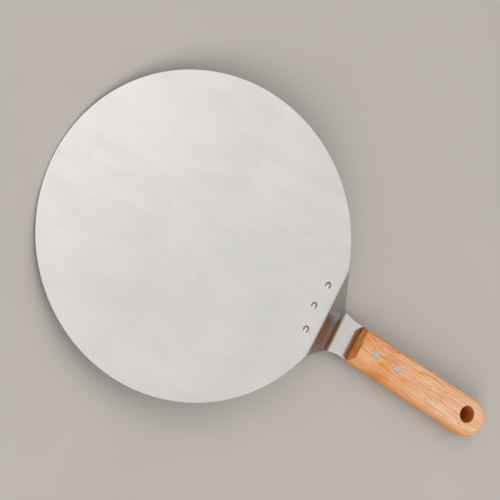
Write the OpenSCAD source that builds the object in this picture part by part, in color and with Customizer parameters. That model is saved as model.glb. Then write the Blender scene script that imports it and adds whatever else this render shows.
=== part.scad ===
// Round pizza peel: a steel blade, a cranked neck riveted under it, and a wooden handle pinned to
// the neck's tang. It lies as it is put down on a table: the handle flat on the surface and the
// blade sloping down to its far rim. +Z is up, +X runs from the blade to the handle's end, and the
// origin is on the surface, at the middle of the peel's length and width. Millimetres.

/* [Blade] */
// Diameter of the round blade
blade_d = 255; // [210:1:320]
// Thickness of the blade sheet
blade_t = 1; // [0.8:0.1:1.6]
// Depth of the slice cut off the circle to make the straight rear edge
flat_cut = 6.2; // [4:0.1:12]

/* [Neck] */
// Thickness of the neck plate
neck_t = 1.5; // [1.2:0.1:2.5]
// Height of the blade's rear edge above the tang
neck_rise = 34.5; // [20:0.1:50]
// Slope of the neck to the surface, in degrees
neck_slope = 46.2; // [35:0.1:60]
// Outer radius of the bend at the blade's rear edge
crest_r = 3.2; // [3:0.1:8]
// Inner radius of the bend at the foot of the slope
foot_r = 11; // [4:0.5:16]
// How far the flange reaches under the blade
flange_reach = 19; // [16:0.5:30]
// Radius of the two hollow sides where the neck narrows to the tang
waist_r = 42; // [25:1:60]
// Length of bare tang between the foot of the slope and the handle
tang_bare = 21.5; // [12:0.5:40]
// Length of bare tang with parallel sides, just before the handle
tang_even = 6.5; // [2:0.5:10]
// Length of tang inside the handle
tang_hidden = 56; // [50:1:70]
// Width of the tang inside the handle
tang_hidden_w = 19; // [12:0.5:22]

/* [Rivets] */
// Diameter of a rivet's shank
rivet_d = 3; // [2.4:0.1:4]
// Diameter of a rivet's head
rivet_head_d = 5.2; // [4.4:0.1:7]
// Height of a rivet's domed head
rivet_head_h = 1.3; // [0.6:0.1:1.5]
// Height of the closed head on the back of the flange
rivet_back_h = 1; // [0.6:0.1:1.5]
// Distance of the outer rivets from the blade's rear edge
rivet_inset = 9.3; // [6:0.1:11]
// How much further in the middle rivet sits
rivet_bow = 2.8; // [0:0.1:4]
// Distance between neighbouring rivets across the blade
rivet_pitch = 19.5; // [12:0.1:22]

/* [Handle] */
// Length of the handle
handle_l = 144.5; // [125:0.5:180]
// Width of the handle
handle_w = 31.4; // [27:0.1:38]
// Thickness of the handle
handle_t = 21.4; // [17:0.1:26]
// How much each side leans in from the widest line to the front end's top edge
side_lean = 3.5; // [1:0.1:5]
// How far the front end's face leans back, from the middle to its top and bottom edges
front_rake = 0.8; // [0:0.1:3]
// Radius of the front end's long edges
front_edge_r = 1.4; // [0.6:0.1:2.5]
// Radius of the rear end's edges
rear_edge_r = 6; // [3:0.1:8]
// Diameter of the hanging hole
hang_d = 14; // [8:0.1:15]
// Distance of the hanging hole from the handle's rear end
hang_inset = 22.5; // [18:0.1:30]

/* [Pins] */
// Diameter of a handle pin
pin_d = 6; // [4:0.1:8]
// Distance of the front pin from the handle's front end
pin_first = 17.6; // [12:0.1:24]
// Distance between the two pins
pin_pitch = 24.2; // [16:0.1:30]

/* [Fits] */
// Gap round a rivet's shank
rivet_gap = 0.05; // [0.02:0.01:0.1]
// Gap round a handle pin
pin_gap = 0.05; // [0.02:0.01:0.1]
// Gap between the hidden tang and its slot, on each side
tang_gap = 0.1; // [0.05:0.01:0.2]

/* [Hidden] */
$fn = 96;
hull_fn = 32;
over = 1;

blade_r = blade_d / 2;
flat_x = blade_r - flat_cut;
flat_half = sqrt(blade_r * blade_r - flat_x * flat_x);
tang_half = handle_w / 2;
tang_top = (handle_t + neck_t) / 2;
edge_z = tang_top + neck_rise;
rim_to_flat = blade_r + flat_x;

// The blade's lean: its far rim and the handle's underside touch the same surface
lean = asin(edge_z / norm([rim_to_flat, blade_t])) - atan2(blade_t, rim_to_flat);

// Seen from the side, with x = 0 at the handle's front end. The crest arc starts under the
// blade's rear edge and ends on the slope; the slope's line meets the tang's top at the foot.
crest_dx = (blade_t + crest_r) * sin(lean) + crest_r * sin(neck_slope);
crest_dz = crest_r * cos(neck_slope) - (blade_t + crest_r) * cos(lean);
slope_run = (neck_rise + crest_dz) / tan(neck_slope);
foot_x = -tang_bare;
edge_x = foot_x - slope_run - crest_dx;
crest_c = [edge_x + (blade_t + crest_r) * sin(lean), edge_z - (blade_t + crest_r) * cos(lean)];
foot_trim = foot_r * tan(neck_slope / 2);
foot_c = [foot_x + foot_trim, tang_top + foot_r];

// Seen from above, each hollow side is an arc that ends on the tang, and the taper is the line
// from the blade's corner that touches that arc
waist_dx = -tang_even - edge_x;
waist_dy = flat_half - tang_half;
waist_fit = min(waist_r, 0.95 * (waist_dx * waist_dx + waist_dy * waist_dy) / (2 * waist_dy));
waist_to_corner = [waist_dx, waist_fit - waist_dy];
taper = asin(waist_fit / norm(waist_to_corner)) - atan2(waist_to_corner.y, waist_to_corner.x);

// Midway along the whole peel
peel_mid_x = (edge_x - rim_to_flat * cos(lean) + handle_l) / 2;

// Moves what is drawn in the blade's own frame, top face at z = 0 and centre at the origin
module on_blade() {
    translate([edge_x - peel_mid_x, 0, edge_z])
        rotate([0, -lean, 0])
            translate([-flat_x, 0, 0])
                children();
}

// Moves what is drawn with x = 0 at the handle's front end and z = 0 on the surface
module on_handle() {
    translate([-peel_mid_x, 0, 0]) children();
}

// Puts a child at each rivet's place on the blade
module at_rivet(side) {
    inset = rivet_inset + (side == 0 ? rivet_bow : 0);
    translate([flat_x - inset, side * rivet_pitch, 0]) children();
}

// Puts a child at a pin's place on the handle
module at_pin(index) {
    translate([pin_first + index * pin_pitch, 0, 0]) children();
}

module blade() {
    color([0.83, 0.82, 0.80])
    on_blade()
    difference() {
        translate([0, 0, -blade_t])
            linear_extrude(blade_t)
                intersection() {
                    circle(blade_r);
                    translate([-2 * blade_r + flat_x, -blade_r])
                        square(2 * blade_r);
                }
        for (side = [-1, 0, 1])
            at_rivet(side)
                translate([0, 0, -blade_t - over])
                    cylinder(d = rivet_d + 2 * rivet_gap, h = blade_t + 2 * over);
    }
}

// Points along an arc, with both ends
function arc(centre, radius, from, to, steps = 14) =
    [for (i = [0:steps])
        let (angle = from + (to - from) * i / steps)
        centre + radius * [cos(angle), sin(angle)]];

// The neck from the side: flange under the blade, crest bend, slope, foot bend and tang
module neck_profile() {
    flange_dir = [cos(lean), sin(lean)];
    flange_end = crest_c + crest_r * [-sin(lean), cos(lean)] - 2 * flange_reach * flange_dir;
    polygon(concat(
        [flange_end],
        arc(crest_c, crest_r, 90 + lean, 90 - neck_slope),
        arc(foot_c, foot_r, 270 - neck_slope, 270),
        [[tang_hidden, tang_top], [tang_hidden, tang_top - neck_t]],
        arc(foot_c, foot_r + neck_t, 270, 270 - neck_slope),
        arc(crest_c, crest_r - neck_t, 90 - neck_slope, 90 + lean),
        [flange_end - neck_t * [-sin(lean), cos(lean)]]));
}

// The neck from above: the flange's round front, a taper from the blade's straight edge, hollow
// sides that run into the tang, and the narrower tang that the handle hides
module neck_plan() {
    reach = flange_reach * cos(lean);
    front_r = (flat_half * flat_half + reach * reach) / (2 * reach);
    front_c = [edge_x - reach + front_r, 0];
    front_half_angle = asin(flat_half / front_r);
    waist_c = [-tang_even, tang_half + waist_fit];
    half = concat(
        arc(front_c, front_r, 180, 180 - front_half_angle),
        arc(waist_c, waist_fit, 270 - taper, 270),
        [[0, tang_half], [0, tang_hidden_w / 2], [tang_hidden, tang_hidden_w / 2]]);
    polygon(concat(half, [for (i = [len(half) - 1:-1:1]) [half[i].x, -half[i].y]]));
}

module neck() {
    color([0.72, 0.71, 0.70])
    difference() {
        on_handle()
            intersection() {
                translate([0, flat_half + over, 0])
                    rotate([90, 0, 0])
                        linear_extrude(2 * (flat_half + over))
                            neck_profile();
                linear_extrude(edge_z + over)
                    neck_plan();
            }
        for (side = [-1, 0, 1])
            on_blade()
                at_rivet(side)
                    translate([0, 0, -blade_t - neck_t - over])
                        cylinder(d = rivet_d + 2 * rivet_gap, h = neck_t + 2 * over);
        for (index = [0, 1])
            on_handle()
                at_pin(index)
                    cylinder(d = pin_d + 2 * pin_gap, h = handle_t);
    }
}

// A rivet seen from the side: domed head on top, shank, and flat closed head below
module rivet_profile() {
    head_r = rivet_head_d / 2;
    dome_r = (head_r * head_r + rivet_head_h * rivet_head_h) / (2 * rivet_head_h);
    grip = blade_t + neck_t;
    intersection() {
        translate([0, rivet_head_h - dome_r]) circle(dome_r);
        square([head_r, rivet_head_h]);
    }
    translate([0, -grip]) square([rivet_d / 2, grip]);
    translate([0, -grip - rivet_back_h]) square([head_r, rivet_back_h]);
}

module blade_rivet(side) {
    color([0.62, 0.60, 0.58])
    on_blade()
        at_rivet(side)
            rotate_extrude($fn = 48)
                rivet_profile();
}

// The front end's outline: flat top and bottom, with sides that bulge to the widest line
module handle_front() {
    half_w = handle_w / 2;
    half_t = handle_t / 2;
    side_r = half_t / 2;
    rotate([90, 0, 90])
    linear_extrude(over)
    hull() {
        for (side = [-1, 1]) {
            translate([side * (half_w - side_r), half_t])
                circle(side_r, $fn = hull_fn);
            for (level = [-1, 1])
                translate([side * (half_w - side_lean - front_edge_r),
                           half_t + level * (half_t - front_edge_r)])
                    circle(front_edge_r, $fn = hull_fn);
        }
    }
}

// What is cut off the front end so that its face leans back above and below the middle
module front_cut() {
    for (level = [0, 1])
        translate([0, 0, handle_t / 2])
            mirror([0, 0, level])
                rotate([0, atan2(front_rake, handle_t / 2), 0])
                    translate([-handle_t, -handle_w, 0])
                        cube([handle_t, 2 * handle_w, handle_t]);
}

// The rear end: a round disc with rounded edges
module handle_rear() {
    rear_r = handle_w / 2;
    translate([handle_l - rear_r, 0, 0])
        rotate_extrude($fn = 64)
            hull() {
                square([rear_r - rear_edge_r, handle_t]);
                for (level = [rear_edge_r, handle_t - rear_edge_r])
                    translate([rear_r - rear_edge_r, level])
                        circle(rear_edge_r, $fn = hull_fn);
            }
}

module handle() {
    color([0.86, 0.62, 0.42])
    on_handle()
    difference() {
        hull() {
            handle_front();
            handle_rear();
        }
        front_cut();
        translate([handle_l - hang_inset, 0, -over])
            cylinder(d = hang_d, h = handle_t + 2 * over);
        for (index = [0, 1])
            at_pin(index)
                translate([0, 0, -over])
                    cylinder(d = pin_d + 2 * pin_gap, h = handle_t + 2 * over);
        translate([-over, -tang_hidden_w / 2 - tang_gap, tang_top - neck_t - tang_gap])
            cube([tang_hidden + tang_gap + over, tang_hidden_w + 2 * tang_gap,
                  neck_t + 2 * tang_gap]);
    }
}

module handle_pin(index) {
    color([0.70, 0.72, 0.74])
    on_handle()
        at_pin(index)
            cylinder(d = pin_d, h = handle_t);
}

blade();
neck();
blade_rivet(-1);  // blade_rivet_left
blade_rivet(0);  // blade_rivet_middle
blade_rivet(1);  // blade_rivet_right
handle();
handle_pin(0);  // handle_pin_front
handle_pin(1);  // handle_pin_rear
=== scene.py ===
import math

import bmesh
import bpy
from mathutils import Matrix, Vector


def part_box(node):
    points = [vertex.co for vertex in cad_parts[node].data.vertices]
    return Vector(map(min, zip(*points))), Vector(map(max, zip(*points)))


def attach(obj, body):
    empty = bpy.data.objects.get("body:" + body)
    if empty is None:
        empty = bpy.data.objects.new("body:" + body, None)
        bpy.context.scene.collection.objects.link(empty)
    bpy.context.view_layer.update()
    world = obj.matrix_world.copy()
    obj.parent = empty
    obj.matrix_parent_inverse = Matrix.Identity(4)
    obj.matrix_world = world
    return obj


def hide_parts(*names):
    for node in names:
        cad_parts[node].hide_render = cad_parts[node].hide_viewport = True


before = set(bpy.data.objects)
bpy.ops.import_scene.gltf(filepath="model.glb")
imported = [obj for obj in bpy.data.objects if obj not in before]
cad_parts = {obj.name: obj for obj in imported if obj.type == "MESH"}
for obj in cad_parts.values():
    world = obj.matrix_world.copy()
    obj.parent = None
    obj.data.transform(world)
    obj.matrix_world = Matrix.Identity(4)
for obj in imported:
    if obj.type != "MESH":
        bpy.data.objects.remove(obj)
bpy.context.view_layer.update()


# ---- Blade ---------------------------------------------------------------------------------
# One round of thin stainless sheet, sheared straight along its rear edge and deburred. It was
# brushed on a belt and wiped down, so it is satin, with faint straight marks under soft clouds.

MM = 0.001
BLADE_THICK = 1.0 * MM
BLADE_FLAT_CUT = 6.2 * MM
BLADE_EDGE_R = 0.22 * MM
BLADE_ARC_STEPS = 220
BLADE_FLAT_STEPS = 24

blade_low, blade_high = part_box("blade")
blade_r = (blade_high[1] - blade_low[1]) / 2
flat_x = blade_r - BLADE_FLAT_CUT
rim_to_flat = blade_r + flat_x
lean = math.asin(blade_high[2] / math.hypot(rim_to_flat, BLADE_THICK))
lean -= math.atan2(BLADE_THICK, rim_to_flat)
rear_edge = Vector((blade_high[0] - BLADE_THICK * math.sin(lean), 0, blade_high[2]))

# From the blade's own frame, centre at the origin and top face at z = 0, to the peel's
on_blade = (Matrix.Translation(rear_edge)
            @ Matrix.Rotation(-lean, 4, "Y")
            @ Matrix.Translation((-flat_x, 0, 0)))


def new_piece(name, mesh, material, slot, *nodes):
    """A shown piece that rides on the peel and stands for those CAD nodes."""
    piece = bpy.data.objects.new(name, mesh)
    bpy.context.collection.objects.link(piece)
    mesh.materials.append(material)
    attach(piece, "root")
    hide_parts(*nodes)
    return piece


def smoothed(mesh, sharp_degrees=35):
    """Shades a mesh smooth, except over edges sharper than that."""
    mesh.polygons.foreach_set("use_smooth", [True] * len(mesh.polygons))
    mesh.set_sharp_from_angle(angle=math.radians(sharp_degrees))
    return mesh


def skin(rings):
    """A mesh of quads between neighbouring rings of points, and a cap on the first and last."""
    mesh = bmesh.new()
    rows = [[mesh.verts.new(point) for point in ring] for ring in rings]
    count = len(rows[0])
    for row, following in zip(rows, rows[1:]):
        for i in range(count):
            j = (i + 1) % count
            mesh.faces.new((row[i], row[j], following[j], following[i]))
    mesh.faces.new(reversed(rows[0]))
    mesh.faces.new(rows[-1])
    bmesh.ops.recalc_face_normals(mesh, faces=mesh.faces)
    return mesh


def to_mesh(built, name):
    """A Blender mesh from a bmesh, which is freed."""
    mesh = bpy.data.meshes.new(name)
    built.to_mesh(mesh)
    built.free()
    return mesh


def cut(mesh, cutters):
    """The mesh with the cutters' meshes taken away."""
    body = bpy.data.objects.new("body", mesh)
    bpy.context.collection.objects.link(body)
    tools = []
    for cutter in cutters:
        tool = bpy.data.objects.new("tool", cutter)
        bpy.context.collection.objects.link(tool)
        tools.append(tool)
        step = body.modifiers.new("cut", "BOOLEAN")
        step.operation = "DIFFERENCE"
        step.solver = "EXACT"
        step.object = tool
    seen = body.evaluated_get(bpy.context.evaluated_depsgraph_get())
    result = bpy.data.meshes.new_from_object(seen)
    for scrap in (body, *tools):
        bpy.data.objects.remove(scrap)
    return result


def lathe(profile, steps=48):
    """A bmesh turned about Z from (radius, height) points, starting and ending off the axis."""
    rings = [[(radius * math.cos(2 * math.pi * i / steps),
               radius * math.sin(2 * math.pi * i / steps), height) for i in range(steps)]
             for radius, height in profile]
    return skin(rings)


def blade_outline(inset):
    """The blade's outline, that far inside its rim: the long arc, then the straight rear edge."""
    radius = blade_r - inset
    corner = math.acos((flat_x - inset) / radius)
    turn = 2 * (math.pi - corner)
    arc = [corner + turn * i / BLADE_ARC_STEPS for i in range(BLADE_ARC_STEPS + 1)]
    points = [(radius * math.cos(a), radius * math.sin(a)) for a in arc]
    half = radius * math.sin(corner)
    return points + [(flat_x - inset, -half + 2 * half * i / BLADE_FLAT_STEPS)
                     for i in range(1, BLADE_FLAT_STEPS)]


RIVET_D = 3.0 * MM
RIVET_GAP = 0.05 * MM
RIVET_INSET = 9.3 * MM
RIVET_BOW = 2.8 * MM
RIVET_PITCH = 19.5 * MM
CUTTER_ABOVE = 2.0 * MM
CUTTER_BELOW = 6.0 * MM
rivet_places = [on_blade @ Matrix.Translation((flat_x - RIVET_INSET, -RIVET_PITCH, 0)),
                on_blade @ Matrix.Translation((flat_x - RIVET_INSET - RIVET_BOW, 0, 0)),
                on_blade @ Matrix.Translation((flat_x - RIVET_INSET, RIVET_PITCH, 0))]


def rivet_holes():
    """A cutter for each rivet's hole, long enough for blade and flange."""
    cutters = []
    hole_r = RIVET_D / 2 + RIVET_GAP
    for place in rivet_places:
        hole = lathe([(hole_r, -CUTTER_BELOW), (hole_r, CUTTER_ABOVE)])
        hole.transform(place)
        cutters.append(to_mesh(hole, "rivet_hole"))
    return cutters


# Each (inset, depth) pair is one ring of the blade's skin, from its top face round its edge
edge_steps = [math.radians(a) for a in (0, 30, 60, 90)]
blade_edge = [(4 * BLADE_EDGE_R, 0)]
blade_edge += [(BLADE_EDGE_R * (1 - math.sin(a)), -BLADE_EDGE_R * (1 - math.cos(a)))
               for a in edge_steps]
blade_edge += [(inset, -BLADE_THICK - depth) for inset, depth in reversed(blade_edge)]
blade_mesh = skin([[(x, y, depth) for x, y in blade_outline(inset)]
                   for inset, depth in blade_edge])
blade_mesh.transform(on_blade)
blade_mesh = smoothed(cut(to_mesh(blade_mesh, "blade"), rivet_holes()))


class Wire:
    """A node's output. Sums and products of wires and numbers add Math nodes."""

    def __init__(self, tree, socket):
        self.tree = tree
        self.socket = socket

    def node(self, kind, settings=None, sockets=None, out=0):
        """A new node: its settings first, then the values or wires of its sockets."""
        made = self.tree.nodes.new(kind)
        for name, value in (settings or {}).items():
            if name == "stops":
                while len(made.color_ramp.elements) < len(value):
                    made.color_ramp.elements.new(0.5)
                for element, (place, colour) in zip(made.color_ramp.elements, value):
                    element.position = place
                    element.color = colour if len(colour) == 4 else (*colour, 1)
            else:
                setattr(made, name, value)
        for name, value in (sockets or {}).items():
            if isinstance(value, Wire):
                self.tree.links.new(value.socket, made.inputs[name])
            else:
                made.inputs[name].default_value = value
        return Wire(self.tree, made.outputs[out])

    def math(self, operation, *values):
        return self.node("ShaderNodeMath", {"operation": operation}, dict(enumerate(values)))

    def __add__(self, other):
        return self.math("ADD", self, other)

    __radd__ = __add__

    def __sub__(self, other):
        return self.math("SUBTRACT", self, other)

    def __rsub__(self, other):
        return self.math("SUBTRACT", other, self)

    def __mul__(self, other):
        return self.math("MULTIPLY", self, other)

    __rmul__ = __mul__

    def clamped(self, low, high, to_low=0.0, to_high=1.0):
        """This value spread from one range to another, and held inside it."""
        return self.node("ShaderNodeMapRange", {"clamp": True},
                         {"Value": self, "From Min": low, "From Max": high,
                          "To Min": to_low, "To Max": to_high})

    def tint(self, dark, light):
        """A colour between two, by this value."""
        return self.node("ShaderNodeMix", {"data_type": "RGBA"},
                         {"Factor": self, 6: (*dark, 1), 7: (*light, 1)}, out=2)

    def over(self, below, above):
        """One colour wire or colour over another, by this value."""
        return self.node("ShaderNodeMix", {"data_type": "RGBA"},
                         {"Factor": self, 6: below, 7: above}, out=2)

    def noise(self, scale, detail=3.0, roughness=0.5, distortion=0.0):
        """Noise at these coordinates, centred on 0.5."""
        return self.node("ShaderNodeTexNoise", {},
                         {"Vector": self, "Scale": scale, "Detail": detail,
                          "Roughness": roughness, "Distortion": distortion})

    def shifted(self, amount, by):
        """These coordinates moved by a vector, as far as that wire is from 0.5."""
        offset = self.node("ShaderNodeVectorMath", {"operation": "SCALE"},
                           {0: by, "Scale": amount - 0.5})
        return self.node("ShaderNodeVectorMath", {"operation": "ADD"}, {0: self, 1: offset})

    def facing(self, direction):
        """How far the surface faces that way, from -1 to 1."""
        normal = self.node("ShaderNodeTexCoord", out=1)
        return self.node("ShaderNodeVectorMath", {"operation": "DOT_PRODUCT"},
                         {0: normal, 1: direction}, out=1)

    def bump(self, distance, strength=1.0):
        """A normal from this height, where 1 stands for that many metres."""
        return self.node("ShaderNodeBump", {},
                         {"Height": self, "Distance": distance, "Strength": strength})


def new_material(name):
    """A new material, its shader node, and the coordinates of its surface in metres."""
    material = bpy.data.materials.new(name)
    material.use_nodes = True
    shader = material.node_tree.nodes["Principled BSDF"]
    start = Wire(material.node_tree, None)
    return material, shader, start.node("ShaderNodeTexCoord", out=3)


def placed(where, turn=(0, 0, 0), stretch=(1, 1, 1)):
    """Coordinates turned and then stretched: a larger stretch packs the pattern closer."""
    turned = where.node("ShaderNodeMapping", {"vector_type": "POINT"},
                        {"Vector": where, "Rotation": turn})
    return turned.node("ShaderNodeMapping", {"vector_type": "POINT"},
                       {"Vector": turned, "Scale": stretch})


def feed(shader, **inputs):
    """Sets or links the shader's sockets, named with underscores for spaces."""
    for name, value in inputs.items():
        socket = shader.inputs[name.replace("_", " ")]
        if isinstance(value, Wire):
            value.tree.links.new(value.socket, socket)
        else:
            socket.default_value = value


BRUSH_ANGLE = math.radians(2)
SATIN_DIM = (0.405, 0.394, 0.381)
SATIN_BRIGHT = (0.468, 0.454, 0.441)

blade_steel, shader, where = new_material("satin_steel")
on_sheet = placed(where, turn=(0, lean, 0))
along_brush = placed(on_sheet, turn=(0, 0, -BRUSH_ANGLE), stretch=(9, 260, 1))
brush = along_brush.noise(12, detail=4, roughness=0.62)
clouds = on_sheet.noise(11, detail=5, roughness=0.55, distortion=0.6)
smears = placed(on_sheet, turn=(0, 0, -BRUSH_ANGLE), stretch=(1, 3.2, 1)).noise(26, detail=4)
wiped = clouds * 0.65 + smears * 0.35
feed(shader,
     Metallic=1.0,
     Base_Color=(wiped + (brush - 0.5) * 0.35).clamped(0.3, 0.7).tint(SATIN_DIM, SATIN_BRIGHT),
     Roughness=(wiped + (brush - 0.5) * 0.3).clamped(0.3, 0.7, 0.40, 0.33),
     Normal=(brush * 0.6 + clouds * 0.4).bump(0.00004, 0.5))

new_piece("blade_sheet", blade_mesh, blade_steel, "blade_steel", "blade")


# ---- Neck ----------------------------------------------------------------------------------
# One steel plate, blanked flat and bent twice. Its round flange lies under the blade, its slope
# drops from the blade's rear edge, and its tang runs level into the handle. It is polished.

NECK_THICK = 1.5 * MM
NECK_SLOPE = math.radians(46.2)
CREST_R = 3.2 * MM
FOOT_R = 11.0 * MM
FLANGE_REACH = 19.0 * MM
WAIST_R = 42.0 * MM
TANG_EVEN = 6.5 * MM
TANG_HIDDEN_HALF = 9.5 * MM
SHOULDER_STEP = 0.02 * MM
NECK_EDGE_R = 0.3 * MM
NECK_COLUMNS = 40
BEND_STEPS = 24
SLOPE_STEPS = 16
TANG_STEPS = 10
TANG_HIDDEN_STEPS = 6

neck_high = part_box("neck")[1]
handle_low, handle_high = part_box("handle")
front_x = handle_low[0]
tang_half = (handle_high[1] - handle_low[1]) / 2
tang_top = (handle_high[2] + NECK_THICK) / 2
flat_half = math.sqrt(blade_r ** 2 - flat_x ** 2)

# The flange's front is an arc from one end of the blade's straight edge to the other
flange_run = FLANGE_REACH * math.cos(lean)
flange_r = (flat_half ** 2 + flange_run ** 2) / (2 * flange_run)
flange_centre = rear_edge.x - flange_run + flange_r
flange_half_angle = math.asin(flat_half / flange_r)


def neck_line():
    """Places along the neck's upper surface, from flange to tang, each with its outward tilt."""
    start = rear_edge + BLADE_THICK * Vector((math.sin(lean), 0, -math.cos(lean)))
    flange_way = Vector((math.cos(lean), 0, math.sin(lean)))
    line = []
    for i in range(1, BEND_STEPS):
        x = flange_centre - flange_r * math.cos(flange_half_angle * i / BEND_STEPS)
        line.append((start + flange_way * (x - start.x) / flange_way.x, -lean))
    crest = start + CREST_R * Vector((math.sin(lean), 0, -math.cos(lean)))
    for i in range(BEND_STEPS + 1):
        tilt = -lean + (NECK_SLOPE + lean) * i / BEND_STEPS
        line.append((crest + CREST_R * Vector((math.sin(tilt), 0, math.cos(tilt))), tilt))
    slope_top = line[-1][0]
    foot_x = slope_top.x + (slope_top.z - tang_top) / math.tan(NECK_SLOPE)
    foot = Vector((foot_x + FOOT_R * math.tan(NECK_SLOPE / 2), 0, tang_top + FOOT_R))
    bend = []
    for i in range(BEND_STEPS + 1):
        tilt = NECK_SLOPE * (1 - i / BEND_STEPS)
        bend.append((foot - FOOT_R * Vector((math.sin(tilt), 0, math.cos(tilt))), tilt))
    line += [(slope_top.lerp(bend[0][0], i / SLOPE_STEPS), NECK_SLOPE)
             for i in range(1, SLOPE_STEPS)]
    line += bend
    shoulder = Vector((front_x, 0, tang_top))
    line += [(bend[-1][0].lerp(shoulder, i / TANG_STEPS), 0.0) for i in range(1, TANG_STEPS + 1)]
    inside = shoulder + Vector((SHOULDER_STEP, 0, 0))
    tang_end = Vector((neck_high[0], 0, tang_top))
    line += [(inside.lerp(tang_end, i / TANG_HIDDEN_STEPS), 0.0)
             for i in range(TANG_HIDDEN_STEPS + 1)]
    return line


def neck_half_width(x):
    """Half the neck's width at a place along the peel."""
    if x < rear_edge.x:
        return math.sqrt(flange_r ** 2 - (flange_centre - x) ** 2)
    if x > front_x:
        return TANG_HIDDEN_HALF
    waist_x = front_x - TANG_EVEN
    run = Vector((waist_x - rear_edge.x, tang_half + WAIST_R - flat_half))
    taper = math.asin(WAIST_R / run.length) - math.atan2(run.y, run.x)
    if x < waist_x - WAIST_R * math.sin(taper):
        return flat_half - (x - rear_edge.x) * math.tan(taper)
    if x < waist_x:
        return tang_half + WAIST_R - math.sqrt(WAIST_R ** 2 - (waist_x - x) ** 2)
    return tang_half


def plate_section(half):
    """The plate cut across: (sideways, depth) points round it, with eased edges."""
    eased = min(NECK_EDGE_R, half / 3)
    flat = half - eased
    top = [(flat * (2 * i / NECK_COLUMNS - 1), 0) for i in range(NECK_COLUMNS + 1)]
    corner = [(flat + eased * math.sin(a), -eased * (1 - math.cos(a))) for a in edge_steps[1:]]
    right = corner + [(y, -NECK_THICK - depth) for y, depth in reversed(corner)]
    bottom = [(y, -NECK_THICK) for y, depth in reversed(top)]
    left = [(-y, depth) for y, depth in reversed(right)]
    return top + right + bottom + left


neck_rings = []
for place, tilt in neck_line():
    outward = Vector((math.sin(tilt), 0, math.cos(tilt)))
    neck_rings.append([place + Vector((0, y, 0)) + depth * outward
                       for y, depth in plate_section(neck_half_width(place.x))])

PIN_GAP = 0.05 * MM
pin_boxes = [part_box("handle_pin_front"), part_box("handle_pin_rear")]
pin_xs = [(low[0] + high[0]) / 2 for low, high in pin_boxes]
pin_r = (pin_boxes[0][1][0] - pin_boxes[0][0][0]) / 2


def pin_holes():
    """A cutter for each handle pin's hole through wood and tang."""
    cutters = []
    hole_r = pin_r + PIN_GAP
    for x in pin_xs:
        hole = lathe([(hole_r, -CUTTER_ABOVE), (hole_r, handle_high[2] + CUTTER_ABOVE)])
        hole.transform(Matrix.Translation((x, 0, 0)))
        cutters.append(to_mesh(hole, "pin_hole"))
    return cutters


neck_mesh = cut(to_mesh(skin(neck_rings), "neck"), rivet_holes() + pin_holes())
neck_mesh = smoothed(neck_mesh)

POLISHED_DIM = (0.39, 0.372, 0.358)
POLISHED_BRIGHT = (0.455, 0.436, 0.421)
SLOPE_HAZE = 0.03

neck_steel, shader, where = new_material("polished_steel")
grain = placed(where, stretch=(10, 300, 10)).noise(10, detail=4, roughness=0.6)
haze = where.noise(45, detail=4, roughness=0.6)
on_slope = where.facing((1, 0, 0)).clamped(0.25, 0.65, 0, SLOPE_HAZE)
feed(shader,
     Metallic=1.0,
     Base_Color=(haze * 0.6 + grain * 0.4).clamped(0.3, 0.7).tint(POLISHED_DIM, POLISHED_BRIGHT),
     Roughness=haze.clamped(0.3, 0.7, 0.16, 0.21) + on_slope,
     Normal=(grain * 0.5 + haze * 0.5).bump(0.00001, 0.4))

new_piece("neck_plate", neck_mesh, neck_steel, "neck_steel", "neck")


# ---- Blade rivets --------------------------------------------------------------------------
# Three plain steel rivets hold the blade on the flange. Each has a high domed head on top, and
# was closed against the flange's back with a flat head.

RIVET_HEAD_R = 2.6 * MM
RIVET_HEAD_H = 1.3 * MM
RIVET_BACK_H = 1.0 * MM
RIVET_EDGE_R = 0.12 * MM
LATHE_CORE = 0.02 * MM
DOME_STEPS = 12
DOME_START = 0.2
RIVET_DIM = (0.30, 0.28, 0.265)
RIVET_BRIGHT = (0.38, 0.36, 0.34)

rivet_grip = BLADE_THICK + NECK_THICK
dome_r = (RIVET_HEAD_R ** 2 + RIVET_HEAD_H ** 2) / (2 * RIVET_HEAD_H)
dome_half_angle = math.asin((RIVET_HEAD_R - RIVET_EDGE_R) / dome_r)
dome = [dome_half_angle * (i + DOME_START) / DOME_STEPS for i in range(DOME_STEPS)]
rivet_profile = [(dome_r * math.sin(a), RIVET_HEAD_H - dome_r * (1 - math.cos(a))) for a in dome]
rivet_profile += [(RIVET_HEAD_R, RIVET_EDGE_R), (RIVET_HEAD_R, 0),
                  (RIVET_D / 2, 0), (RIVET_D / 2, -rivet_grip),
                  (RIVET_HEAD_R - RIVET_EDGE_R, -rivet_grip),
                  (RIVET_HEAD_R, -rivet_grip - RIVET_EDGE_R),
                  (RIVET_HEAD_R, -rivet_grip - RIVET_BACK_H + 2 * RIVET_EDGE_R),
                  (RIVET_HEAD_R - 2 * RIVET_EDGE_R, -rivet_grip - RIVET_BACK_H),
                  (LATHE_CORE, -rivet_grip - RIVET_BACK_H)]

rivet_steel, shader, where = new_material("rivet_steel")
scuff = where.noise(900, detail=3)
feed(shader,
     Metallic=1.0,
     Base_Color=scuff.clamped(0.3, 0.7).tint(RIVET_DIM, RIVET_BRIGHT),
     Roughness=scuff.clamped(0.3, 0.7, 0.16, 0.28),
     Normal=scuff.bump(0.00003, 0.4))

for side, place in zip(("left", "middle", "right"), rivet_places):
    turned = lathe(rivet_profile)
    turned.transform(place)
    new_piece("rivet_" + side, smoothed(to_mesh(turned, "rivet"), 50), rivet_steel,
              "rivet_steel", "blade_rivet_" + side)


# ---- Handle --------------------------------------------------------------------------------
# One piece of pale close-grained hardwood. The front end leans back a little above and below the
# slot for the tang, the sides swell to a centre line, and the long edges open into the sanded
# round rear end.

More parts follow.
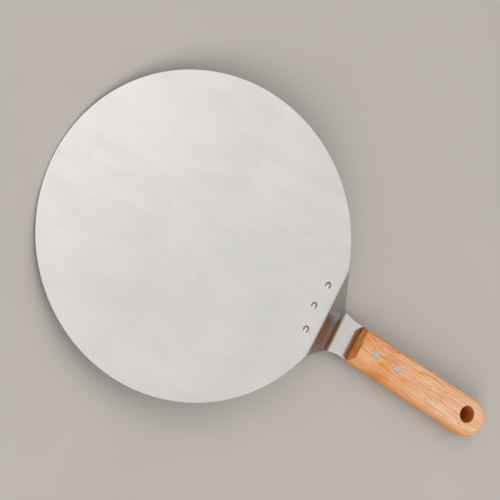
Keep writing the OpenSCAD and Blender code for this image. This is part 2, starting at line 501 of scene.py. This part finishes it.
SIDE_LEAN = 3.5 * MM
FRONT_EDGE_R = 1.4 * MM
FRONT_RAKE = 0.8 * MM
FRONT_EASE = 0.5 * MM
REAR_EDGE_R = 6.0 * MM
HANG_R = 7.0 * MM
HANG_INSET = 22.5 * MM
HANG_EDGE_R = 0.5 * MM
TANG_GAP = 0.1 * MM
SLOT_OVER = 1.0 * MM
FRONT_ROUND_SHARE = 0.3
FRONT_ROUND_PAST = 1.2
FRONT_CORNER_CUT = 0.3
REAR_ROUND_SHARE = 0.7
RIM_STEPS = 20
SIDE_STEPS = 14
LENGTH_STEPS = 30

handle_t = handle_high[2]
handle_mid = handle_t / 2
hub_x = handle_high[0] - tang_half


def front_rim(step):
    """(half width, height over the middle) round the front end, from top flat to widest line."""
    corner_y = tang_half - SIDE_LEAN - FRONT_EDGE_R
    corner_z = handle_mid - FRONT_EDGE_R
    bulge = math.atan2(SIDE_LEAN, handle_mid) * FRONT_ROUND_PAST
    if step <= FRONT_ROUND_SHARE:
        angle = math.pi / 2 - (math.pi / 2 - bulge) * step / FRONT_ROUND_SHARE
        return (corner_y + FRONT_EDGE_R * math.cos(angle),
                corner_z + FRONT_EDGE_R * math.sin(angle))
    share = (step - FRONT_ROUND_SHARE) / (1 - FRONT_ROUND_SHARE)
    top = (corner_y + FRONT_EDGE_R * math.cos(bulge), corner_z + FRONT_EDGE_R * math.sin(bulge))
    return (top[0] + (tang_half - top[0]) * math.sin(share * math.pi / 2),
            top[1] * (1 - share))


def rear_rim(step):
    """The same round the rear end: a wide round edge, then an upright side."""
    if step <= REAR_ROUND_SHARE:
        angle = math.pi / 2 * (1 - step / REAR_ROUND_SHARE)
        return (tang_half - REAR_EDGE_R * (1 - math.cos(angle)),
                handle_mid - REAR_EDGE_R * (1 - math.sin(angle)))
    share = (step - REAR_ROUND_SHARE) / (1 - REAR_ROUND_SHARE)
    return tang_half, (handle_mid - REAR_EDGE_R) * (1 - share)


def front_setback(height):
    """How far behind the front end's foremost line its face is, that far over the middle."""
    near_edge = max(0, height - handle_mid + FRONT_EASE) / FRONT_EASE
    return FRONT_RAKE * height / handle_mid + FRONT_EASE * (1 - math.sqrt(1 - near_edge ** 2))


def handle_ring(step, level):
    """One closed loop round the handle, seen from above, at a step down the rim."""
    front, rear = front_rim(step), rear_rim(step)
    end_x = front_x + front_setback(front[1])
    front_z = handle_mid + level * front[1]
    corner_cut = FRONT_CORNER_CUT * FRONT_EASE
    half = [(end_x, front[0] - FRONT_EASE, front_z),
            (end_x + corner_cut, front[0] - corner_cut, front_z)]
    for i in range(LENGTH_STEPS + 1):
        share = i / LENGTH_STEPS
        half.append((end_x + FRONT_EASE + (hub_x - end_x - FRONT_EASE) * share,
                     front[0] + (rear[0] - front[0]) * share,
                     handle_mid + level * (front[1] + (rear[1] - front[1]) * share)))
    for i in range(1, RIM_STEPS + 1):
        turn = math.pi / 2 * i / RIM_STEPS
        half.append((hub_x + rear[0] * math.sin(turn), rear[0] * math.cos(turn),
                     handle_mid + level * rear[1]))
    return half + [(x, -y, z) for x, y, z in reversed(half[:-1])]


steps = [i / SIDE_STEPS for i in range(SIDE_STEPS + 1)]
handle_rings = [handle_ring(step, 1) for step in steps]
handle_rings += [handle_ring(step, -1) for step in reversed(steps[:-1])]
handle_built = skin(handle_rings)

hang = lathe([(HANG_R + 3 * HANG_EDGE_R, -2 * HANG_EDGE_R), (HANG_R, HANG_EDGE_R),
              (HANG_R, handle_t - HANG_EDGE_R),
              (HANG_R + 3 * HANG_EDGE_R, handle_t + 2 * HANG_EDGE_R)], steps=64)
hang.transform(Matrix.Translation((handle_high[0] - HANG_INSET, 0, 0)))
slot_half = TANG_HIDDEN_HALF + TANG_GAP
slot_start, slot_end = front_x - SLOT_OVER, neck_high[0] + TANG_GAP
slot_floor, slot_roof = tang_top - NECK_THICK - TANG_GAP, tang_top + TANG_GAP
slot = skin([[(slot_start, y, slot_floor), (slot_end, y, slot_floor),
              (slot_end, y, slot_roof), (slot_start, y, slot_roof)]
             for y in (-slot_half, slot_half)])
handle_mesh = cut(to_mesh(handle_built, "handle"),
                  [to_mesh(hang, "hang"), to_mesh(slot, "slot")] + pin_holes())
handle_mesh = smoothed(handle_mesh, 40)

HARDWOOD_PALE = (0.585, 0.39, 0.255)
HARDWOOD_WARM = (0.52, 0.262, 0.117)
HARDWOOD_STREAK = (0.49, 0.145, 0.05, 1)
HARDWOOD_TICK = (0.27, 0.085, 0.027, 1)
# The side colour is painted shade: a darker, more orange copy of the wood for the handle's sides.
HARDWOOD_SHADED_SIDE = (0.73, 0.33, 0.12, 1)
HEARTWOOD = (0.50, 0.20, 0.056, 1)
HEARTWOOD_AT = (front_x + 28 * MM, -14 * MM, 14 * MM)
BORE_DARK = (0.37, 0.105, 0.017)
BORE_PALE = (0.50, 0.165, 0.032)
END_GRAIN_PALE = (0.65, 0.28, 0.095)
END_GRAIN_DARK = (0.34, 0.088, 0.025)

handle_wood, shader, where = new_material("pale_hardwood")
along_peel = where.node("ShaderNodeSeparateXYZ", sockets={"Vector": where})
near_front = along_peel.clamped(front_x + 15 * MM, front_x + 65 * MM, 1, 0)
drift = placed(where, stretch=(1, 4, 4)).noise(16, detail=2)
sway = placed(where, stretch=(1, 1.6, 1.6)).noise(48, detail=2)
bent = where.shifted(drift, (0, 0.007, 0.004))
bent = bent.shifted((sway - 0.5) * (near_front * 0.9 + 0.1) + 0.5, (0, 0.009, 0.003))
bands = placed(bent, stretch=(1, 7, 7)).noise(13, detail=3)
streaks = placed(bent, stretch=(1, 22, 22)).noise(42, detail=3)
threads = placed(bent, stretch=(1, 16, 16)).noise(75, detail=3)
ticks = placed(bent, stretch=(1, 9, 9)).noise(150, detail=1)
patches = where.noise(30, detail=2)
warmth = bands * 0.6 + patches * 0.4 + near_front * 0.16
streak_mask = streaks.clamped(0.50, 0.59) * patches.clamped(0.32, 0.60, 0.45, 1.0)
tick_mask = ticks.clamped(0.66, 0.74)
from_heart = where.node("ShaderNodeVectorMath", {"operation": "DISTANCE"},
                        {0: bent, 1: HEARTWOOD_AT}, out=1)
heart_mask = from_heart.clamped(4 * MM, 15 * MM, 1, 0)
level_face = where.facing((0, 0, 1))
# Faces that stand up from level get the darker, more orange side colour, which is painted shade;
# streaks and ticks are fainter there.
shaded_side_mask = (level_face * level_face).clamped(0.05, 0.75, 1, 0)
end_mask = where.facing((-1, 0, 0)).clamped(0.75, 0.9)
end_rings = placed(where.shifted(sway, (0, 0, 0.004)), stretch=(1, 1, 10)).noise(62, detail=3)
plain = (warmth + (threads - 0.5) * 0.8).clamped(0.72, 0.36).tint(HARDWOOD_WARM, HARDWOOD_PALE)
side_shaded = (shaded_side_mask * 0.8).over(plain, HARDWOOD_SHADED_SIDE)
hearted = (heart_mask * 0.75).over(side_shaded, HEARTWOOD)
streaked = (streak_mask * (0.85 - shaded_side_mask * 0.5)).over(hearted, HARDWOOD_STREAK)
ticked = (tick_mask * (0.6 - shaded_side_mask * 0.4)).over(streaked, HARDWOOD_TICK)
end_grain = end_rings.clamped(0.38, 0.60).tint(END_GRAIN_PALE, END_GRAIN_DARK)
from_bore = where.node("ShaderNodeVectorMath", {"operation": "DISTANCE"},
                       {0: placed(where, stretch=(1, 1, 0)),
                        1: (handle_high[0] - HANG_INSET, 0, 0)}, out=1)
bore_mask = from_bore.clamped(HANG_R + 0.1 * MM, HANG_R + 0.6 * MM, 1, 0)
bore = threads.clamped(0.35, 0.65).tint(BORE_DARK, BORE_PALE)
feed(shader,
     Base_Color=bore_mask.over(end_mask.over(ticked, end_grain), bore),
     Roughness=threads.clamped(0.3, 0.7, 0.62, 0.52),
     Specular_IOR_Level=0.0,
     Normal=(threads * 0.4 - streak_mask * 0.3 - tick_mask * 0.6).bump(0.00010, 0.5))

new_piece("handle_wood", handle_mesh, handle_wood, "handle_wood", "handle")


# ---- Handle pins ---------------------------------------------------------------------------
# Two aluminium pins through wood and tang, hammered in and ground flush with the handle, so
# their ends are flat and finely scratched.

PIN_CHAMFER = 0.15 * MM
PIN_CORE = 0.02
PIN_DIM = (0.36, 0.34, 0.33)
PIN_BRIGHT = (0.42, 0.40, 0.385)

pin_metal, shader, where = new_material("ground_aluminium")
scratches = placed(where, turn=(0, 0, math.radians(35)), stretch=(20, 400, 20)).noise(9, detail=4)
feed(shader,
     Metallic=1.0,
     Base_Color=scratches.clamped(0.3, 0.7).tint(PIN_DIM, PIN_BRIGHT),
     Roughness=scratches.clamped(0.3, 0.7, 0.45, 0.35),
     Normal=scratches.bump(0.00003, 0.4))

for end, x in zip(("front", "rear"), pin_xs):
    turned = lathe([(pin_r * PIN_CORE, 0), (pin_r - PIN_CHAMFER, 0), (pin_r, PIN_CHAMFER),
                    (pin_r, handle_t - PIN_CHAMFER), (pin_r - PIN_CHAMFER, handle_t),
                    (pin_r * PIN_CORE, handle_t)])
    turned.transform(Matrix.Translation((x, 0, 0)))
    new_piece("pin_" + end, smoothed(to_mesh(turned, "pin"), 30), pin_metal,
              "pin_aluminium", "handle_pin_" + end)


# ---- Floor, lights and camera --------------------------------------------------------------
# A plain pale floor under two broad soft lights, one overhead and a stronger one to one side, in
# a room that is pale above and dim near the floor.

FLOOR_HALF = 8.0
FLOOR_DROP = 0.05 * MM
FLOOR_DIM = (0.331, 0.305, 0.280)
FLOOR_PALE = (0.351, 0.324, 0.297)

floor_built = bmesh.new()
corners = [(-1, -1), (1, -1), (1, 1), (-1, 1)]
floor_built.faces.new([floor_built.verts.new((FLOOR_HALF * x, FLOOR_HALF * y, -FLOOR_DROP))
                       for x, y in corners])
floor_mesh = to_mesh(floor_built, "floor")
floor_matt, shader, where = new_material("pale_floor")
tone = where.noise(6, detail=3)
feed(shader,
     Base_Color=tone.clamped(0.3, 0.7).tint(FLOOR_DIM, FLOOR_PALE),
     Roughness=0.85)
floor_mesh.materials.append(floor_matt)
floor = bpy.data.objects.new("floor", floor_mesh)
bpy.context.collection.objects.link(floor)


def soft_light(name, at, aim, size, power):
    """A square soft light at a place, facing another, that the camera doesn't see."""
    lamp = bpy.data.lights.new(name, "AREA")
    lamp.shape = "SQUARE"
    lamp.size = size
    lamp.energy = power
    stand = bpy.data.objects.new(name, lamp)
    stand.location = at
    stand.rotation_mode = "QUATERNION"
    stand.rotation_quaternion = (Vector(aim) - Vector(at)).to_track_quat("-Z", "Y")
    stand.visible_camera = False
    bpy.context.collection.objects.link(stand)


soft_light("overhead", at=(-0.85, 0.75, 2.2), aim=(0, 0, 0), size=1.6, power=8.5)
soft_light("side", at=(0.10, -1.90, 1.70), aim=(0, 0, 0), size=1.6, power=26)

SKY_TILT = 0.25
SKY_STOPS = [(0.0, (0.08, 0.08, 0.08)), (0.28, (0.20, 0.195, 0.19)), (0.55, (0.60, 0.60, 0.59)),
             (0.78, (1.18, 1.18, 1.17)), (0.88, (1.36, 1.36, 1.35)), (1.0, (1.34, 1.34, 1.33))]

# The room's brightness rises with height, and a little toward both ends of the peel
world = bpy.data.worlds.new("room")
world.use_nodes = True
bpy.context.scene.world = world
toward = Wire(world.node_tree, None).node("ShaderNodeTexCoord")
height = toward.node("ShaderNodeSeparateXYZ", sockets={"Vector": toward}, out=2)
along = toward.node("ShaderNodeSeparateXYZ", sockets={"Vector": toward}, out=0)
to_an_end = along.math("ABSOLUTE", along)
sky = height.node("ShaderNodeValToRGB", {"stops": SKY_STOPS},
                  {"Fac": height + to_an_end * SKY_TILT})
feed(world.node_tree.nodes["Background"], Color=sky, Strength=1.0)

CAMERA_AIM = Vector((-0.03943, 0.01918, 0))
CAMERA_DISTANCE = 1.57693
CAMERA_ELEVATION = math.radians(60.350)
CAMERA_BEARING = math.radians(-154.023)
CAMERA_ROLL = math.radians(-94.424)
CAMERA_LENS = 144
CAMERA_SENSOR = 36

eye = bpy.data.cameras.new("camera")
eye.lens = CAMERA_LENS
eye.sensor_width = CAMERA_SENSOR
camera = bpy.data.objects.new("camera", eye)
back = Vector((math.cos(CAMERA_BEARING) * math.cos(CAMERA_ELEVATION),
               math.sin(CAMERA_BEARING) * math.cos(CAMERA_ELEVATION),
               math.sin(CAMERA_ELEVATION)))
camera.rotation_mode = "QUATERNION"
camera.location = CAMERA_AIM + CAMERA_DISTANCE * back
upright = (-back).to_track_quat("-Z", "Y").to_matrix().to_4x4()
camera.rotation_quaternion = (upright @ Matrix.Rotation(-CAMERA_ROLL, 4, "Z")).to_quaternion()
eye.clip_start, eye.clip_end = 0.05, 50
bpy.context.collection.objects.link(camera)
bpy.context.scene.camera = camera
bpy.context.scene.view_settings.view_transform = "Standard"
